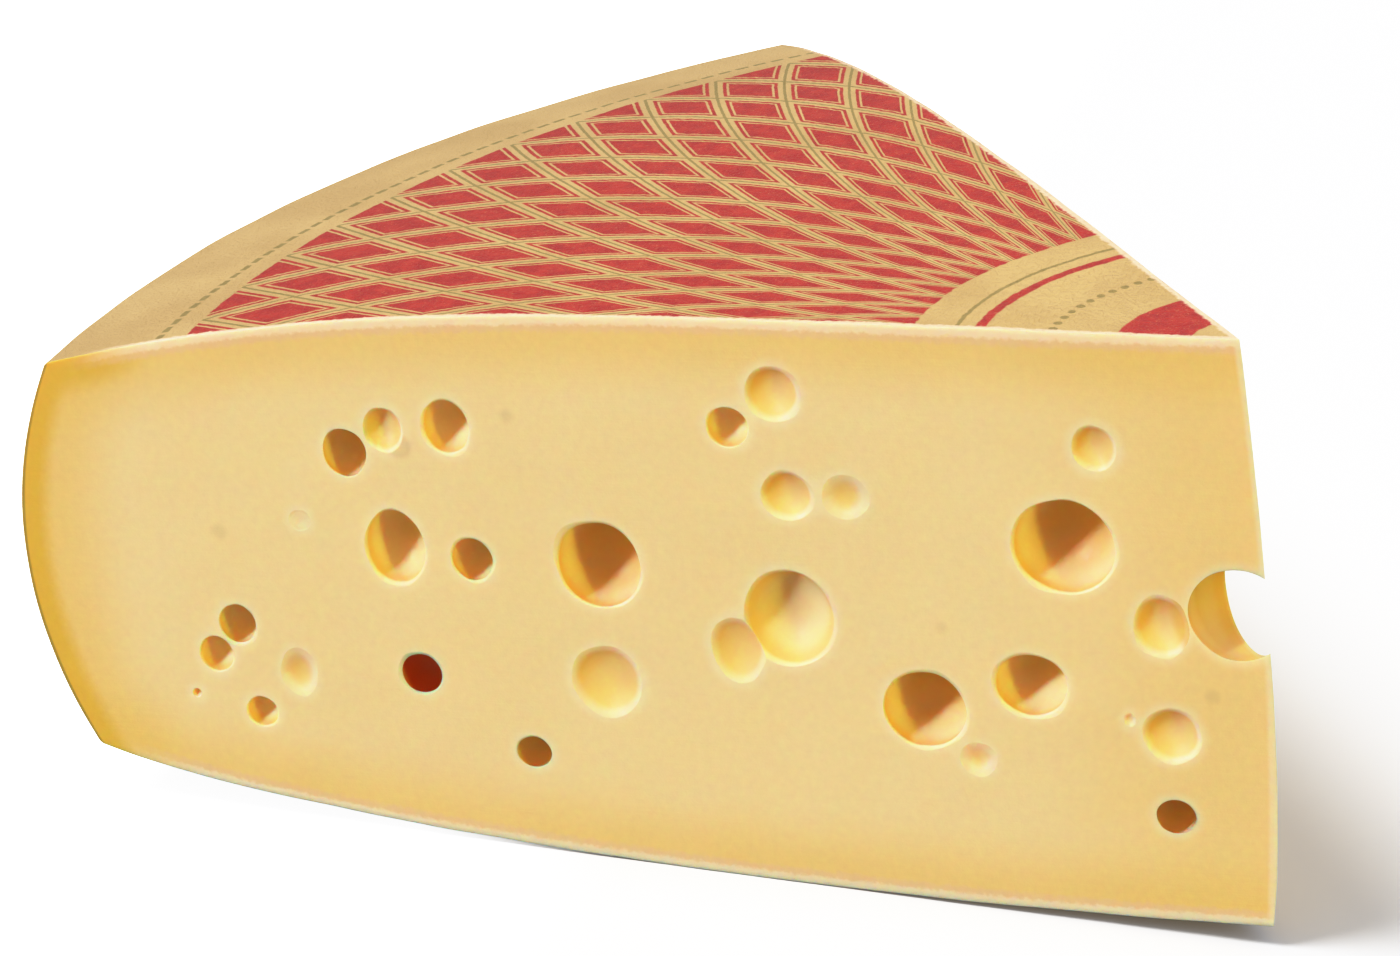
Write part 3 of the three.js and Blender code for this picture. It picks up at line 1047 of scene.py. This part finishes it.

# %% [markdown]
# ## Table and light
#
# The wedge lies on a white table with a glow, which is painted light that only the camera sees, so that
# the ground burns out to white and only the shadow keeps a tone. The glow is full white to the left, where
# it paints out the shadow under the wedge's left end, and faint and warm elsewhere, where it tints the
# shadow. The key light comes from the upper left, in front. A low yellow reflector on the right fills the
# left walls of the eyes, and two weak lamps keep the top and the back cut from going dull. Sun lamps keep
# their direction all over the wedge, so every eye gets the same light. The table has lamps of its own by
# light linking: a wash that casts the soft shadow, and a bluish sky that keeps the shadow neutral.

# %% The table
floor_size = 20.0
floor_white, floor_bounce = 0.95, 0.08
# Painted light: a glow that only the camera sees, full white to the left, where it paints out the shadow
# under the wedge's left end, and faint and warm elsewhere, where it tints the shadow.
warm_painted_glow, left_painted_glow = (0.11, 0.085, 0.055, 1.0), (1.1, 1.1, 1.1, 1.0)
glow_from, glow_to = 0.0, -0.09
floor_mesh = bpy.data.meshes.new("floor")
plate = bmesh.new()
bmesh.ops.create_grid(plate, x_segments=1, y_segments=1, size=floor_size)
plate.to_mesh(floor_mesh)
plate.free()
floor = add_object("floor", floor_mesh)
white_table = bpy.data.materials.new("white_table")
white_table.use_nodes = True
tree = white_table.node_tree
shader = tree.nodes["Principled BSDF"]
seen = tree.nodes.new("ShaderNodeLightPath").outputs["Is Camera Ray"]
tone = maths(tree, "MULTIPLY_ADD", seen, floor_white - floor_bounce, floor_bounce)
tree.links.new(tone, shader.inputs["Base Color"])
split = tree.nodes.new("ShaderNodeSeparateXYZ")
tree.links.new(tree.nodes.new("ShaderNodeTexCoord").outputs["Object"], split.inputs[0])
leftwards = rise(tree, split.outputs[0], glow_from, glow_to)
glow = blend(tree, leftwards, warm_painted_glow, left_painted_glow)
tree.links.new(glow, shader.inputs["Emission Color"])
tree.links.new(seen, shader.inputs["Emission Strength"])
shader.inputs["Roughness"].default_value = 0.9
shader.inputs["Specular IOR Level"].default_value = 0.0
floor_mesh.materials.append(white_table)
print("table:", floor_size * 2, "m wide")


# %% The lamps
def sun_lamp(name, lit, azimuth, elevation, strength, colour, softness):
    """A sun for one collection, from an azimuth counted from the front cut's side towards the right."""
    data = bpy.data.lights.new(name, "SUN")
    data.energy = strength
    data.color = colour
    data.angle = math.radians(softness)
    lamp = add_object(name, data)
    directions = camera_directions(math.radians(azimuth), math.radians(elevation), 0.0)
    lamp.matrix_world = Matrix(directions).transposed().to_4x4()
    lamp.light_linking.receiver_collection = lit


cheese_only = bpy.data.collections.new("cheese_only")
cheese_only.objects.link(wedge)
table_only = bpy.data.collections.new("table_only")
table_only.objects.link(floor)
sun_lamp("key", cheese_only, -46.3, 32.2, 2.8, (0.91, 0.99, 1.18), 7)
sun_lamp("fill", cheese_only, 64.6, 15.2, 1.85, (0.78, 0.72, 0.1), 6)
sun_lamp("overhead", cheese_only, -160, 52, 0.65, (0.83, 0.93, 1.0), 30)
sun_lamp("behind", cheese_only, 140, 12, 0.9, (0.75, 0.85, 1.3), 90)
sun_lamp("wash", table_only, -84, 59, 3.4, (1.0, 1.0, 1.0), 30)
sun_lamp("sky", table_only, 0, 89, 1.3, (0.0, 0.3, 1.0), 150)
print("lamps: key, fill, overhead and behind for the cheese, wash and sky for the table")

# %% [markdown]
# ## The room, and how the camera answers to light
#
# The room fills the shadows. Its light has bounced off warm walls, so it is yellowish where it lights the
# cheese, but it stays white where it mirrors in the satin surface and behind the table. A camera doesn't
# record light evenly either: it deepens the shadows and rolls off the brightest tones, and a curve on the
# picture does the same.

# %% The surroundings
room_light, room_gloss, room_seen = 0.42, 0.7, 1.6
room_tint, room_white = (1.0, 0.78, 0.22, 1.0), (1.0, 1.0, 1.0, 1.0)
world = bpy.data.worlds.new("white_room")
world.use_nodes = True
bpy.context.scene.world = world
tree = world.node_tree
paths = tree.nodes.new("ShaderNodeLightPath").outputs
brightness = maths(tree, "MULTIPLY_ADD", paths["Is Glossy Ray"], room_gloss - room_light, room_light)
backdrop = times(tree, paths["Is Camera Ray"], room_seen)
brightness = maths(tree, "MAXIMUM", brightness, backdrop)
tree.links.new(brightness, tree.nodes["Background"].inputs["Strength"])
tint = blend(tree, paths["Is Diffuse Ray"], room_white, room_tint)
tree.links.new(tint, tree.nodes["Background"].inputs["Color"])
print("room light:", room_light)

# %% The camera's response to light
response_white = 1.5
response = [(0.2, 0.17), (0.45, 0.42), (0.75, 0.755), (0.9, 0.88), (1.05, 0.945)]
view = bpy.context.scene.view_settings
view.view_transform = "Standard"
view.use_curve_mapping = True
view.curve_mapping.white_level = (response_white, response_white, response_white)
response_curve = view.curve_mapping.curves[3]
for light, tone in response:
    response_curve.points.new(light / response_white, tone)
view.curve_mapping.update()
print("full white stands for", response_white, "times a lit white sheet")
